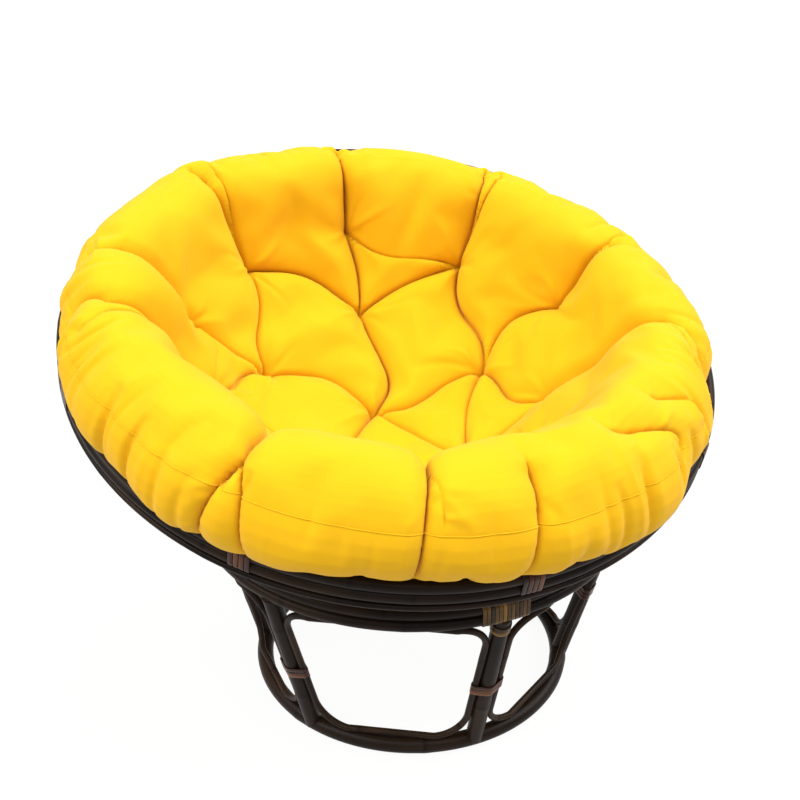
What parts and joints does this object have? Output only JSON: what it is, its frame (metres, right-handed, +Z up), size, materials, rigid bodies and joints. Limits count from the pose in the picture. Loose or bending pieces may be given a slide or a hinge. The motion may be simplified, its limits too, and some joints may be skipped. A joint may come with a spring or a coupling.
{
  "type": "papasan chair",
  "caption": "Papasan chair: a round rattan bowl with a thick tufted round cushion, lying at a slant in a round open rattan base with leaning legs and thin loops.",
  "frame": {"origin": "on the floor, below the middle of the chair's bounding box", "axes": "+Z up; the bowl's low lip faces -Y and its high back +Y; +X to the sitter's left"},
  "size_m": [1.078, 1.0724, 0.7858],
  "materials": {
    "dark_rattan": "satin",
    "thin_rattan": "satin",
    "rattan_peel": "satin",
    "yellow_twill": "matte",
    "fibre_filling": "matte"
  },
  "bodies": {
    "base": {"base_ring_bottom": "dark_rattan", "base_ring_top_lower": "dark_rattan", "base_ring_top_upper": "dark_rattan", "base_leg_1": "dark_rattan", "base_leg_2": "dark_rattan", "base_leg_3": "dark_rattan", "base_leg_4": "dark_rattan", "base_leg_5": "dark_rattan", "base_leg_6": "dark_rattan", "base_loop_1": "thin_rattan", "base_loop_2": "thin_rattan", "base_loop_3": "thin_rattan", "base_loop_4": "thin_rattan", "base_loop_5": "thin_rattan", "base_loop_6": "thin_rattan", "base_leg_binding_1": "rattan_peel", "base_leg_binding_2": "rattan_peel", "base_leg_binding_3": "rattan_peel", "base_leg_binding_4": "rattan_peel", "base_leg_binding_5": "rattan_peel", "base_leg_binding_6": "rattan_peel", "base_splice_binding": "rattan_peel", "base_collar_binding": "rattan_peel"},
    "bowl": {"bowl_rim_lower": "dark_rattan", "bowl_rim_upper": "dark_rattan", "bowl_hoop_middle": "dark_rattan", "bowl_hoop_lower": "dark_rattan", "bowl_hoop_bottom": "dark_rattan", "bowl_rib_1": "dark_rattan", "bowl_rib_2": "dark_rattan", "bowl_rib_3": "dark_rattan", "bowl_rib_4": "dark_rattan", "bowl_rib_5": "dark_rattan", "bowl_rib_6": "dark_rattan", "bowl_rib_7": "dark_rattan", "bowl_rib_8": "dark_rattan", "bowl_rim_binding_1": "rattan_peel", "bowl_rim_binding_2": "rattan_peel", "bowl_rim_binding_3": "rattan_peel", "bowl_rim_binding_4": "rattan_peel", "bowl_rim_binding_5": "rattan_peel", "bowl_rim_binding_6": "rattan_peel", "bowl_rim_binding_7": "rattan_peel", "bowl_rim_binding_8": "rattan_peel"},
    "cushion": {"cushion_cover_face": "yellow_twill", "cushion_cover_underside": "yellow_twill", "cushion_filling": "fibre_filling"}
  },
  "joints": [
    {"name": "bowl_tilt", "type": "hinge", "parent": "base", "child": "bowl", "pos_m": [0, -0.06042, 0.85633], "axis": [1, 0, 0], "range_deg": [-38, 6]},
    {"name": "cushion_lift", "type": "slide", "parent": "bowl", "child": "cushion", "axis": [0, -0.2756, 0.9613], "range_m": [0, 0.5]}
  ]
}
